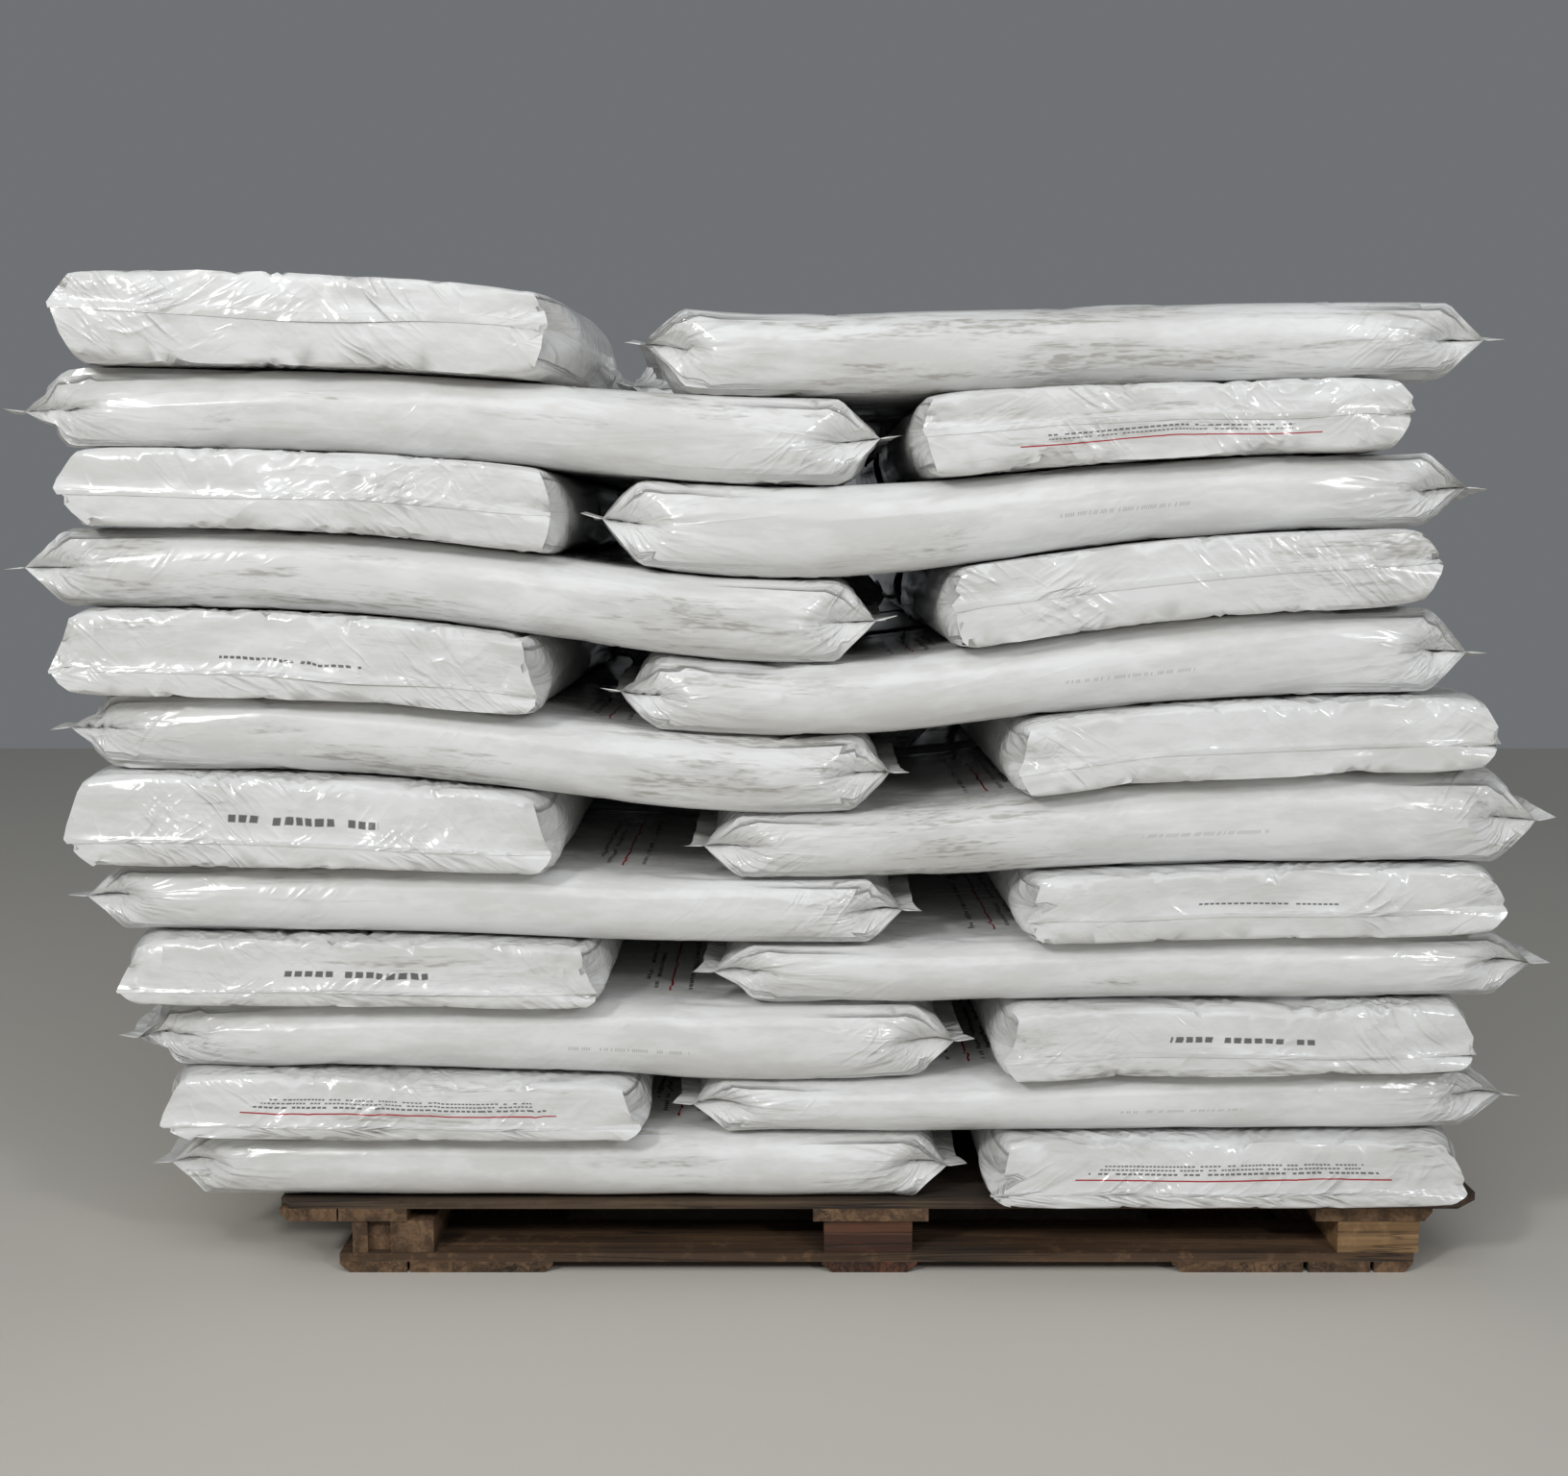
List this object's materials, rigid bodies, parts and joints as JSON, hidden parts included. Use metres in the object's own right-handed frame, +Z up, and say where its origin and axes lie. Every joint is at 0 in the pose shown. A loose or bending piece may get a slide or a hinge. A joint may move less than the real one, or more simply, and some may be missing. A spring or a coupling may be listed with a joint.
{
  "type": "pallet of sacks",
  "caption": "Interlocked stack of glossy white film sacks, each filled and sealed with flat welded ends, on a thin brown wooden block pallet.",
  "frame": {"origin": "centre of the pallet at floor level, on the underside of the middle runner", "axes": "+Z up, +X across the pallet to the right, -Y the front of the load with its fork entries"},
  "size_m": [1.5035, 1.526, 0.9742],
  "materials": {
    "sack_film": "glossy white polyethylene film, creased and dusty",
    "deck_board": "thin pressed board, weathered brown",
    "brown_wood": "rough sawn, weathered brown",
    "reddish_wood": "rough sawn, dark reddish brown",
    "pale_wood": "rough sawn, pale"
  },
  "bodies": {
    "root": {"sack_layer_01": "sack_film", "sack_layer_02": "sack_film", "sack_layer_03": "sack_film", "sack_layer_04": "sack_film", "sack_layer_05": "sack_film", "sack_layer_06": "sack_film", "sack_layer_07": "sack_film", "sack_layer_08": "sack_film", "sack_layer_09": "sack_film", "sack_layer_10": "sack_film", "sack_layer_11": "sack_film", "sack_layer_12": "sack_film", "deck_sheet": "deck_board", "stringer_left_outer": "brown_wood", "stringer_left_inner": "brown_wood", "stringer_middle": "brown_wood", "stringer_right": "brown_wood", "block_left_front": "brown_wood", "block_middle_front": "reddish_wood", "block_right_front": "pale_wood", "block_left_centre": "brown_wood", "block_middle_centre": "reddish_wood", "block_right_centre": "pale_wood", "block_left_back": "brown_wood", "block_middle_back": "reddish_wood", "block_right_back": "pale_wood", "cross_board_front": "brown_wood", "cross_board_centre": "brown_wood", "cross_board_back": "brown_wood", "runner_left_outer": "brown_wood", "runner_left_inner": "brown_wood", "runner_middle": "reddish_wood", "runner_right_inner": "brown_wood", "runner_right_centre": "brown_wood", "runner_right_outer": "brown_wood"}
  },
  "joints": []
}
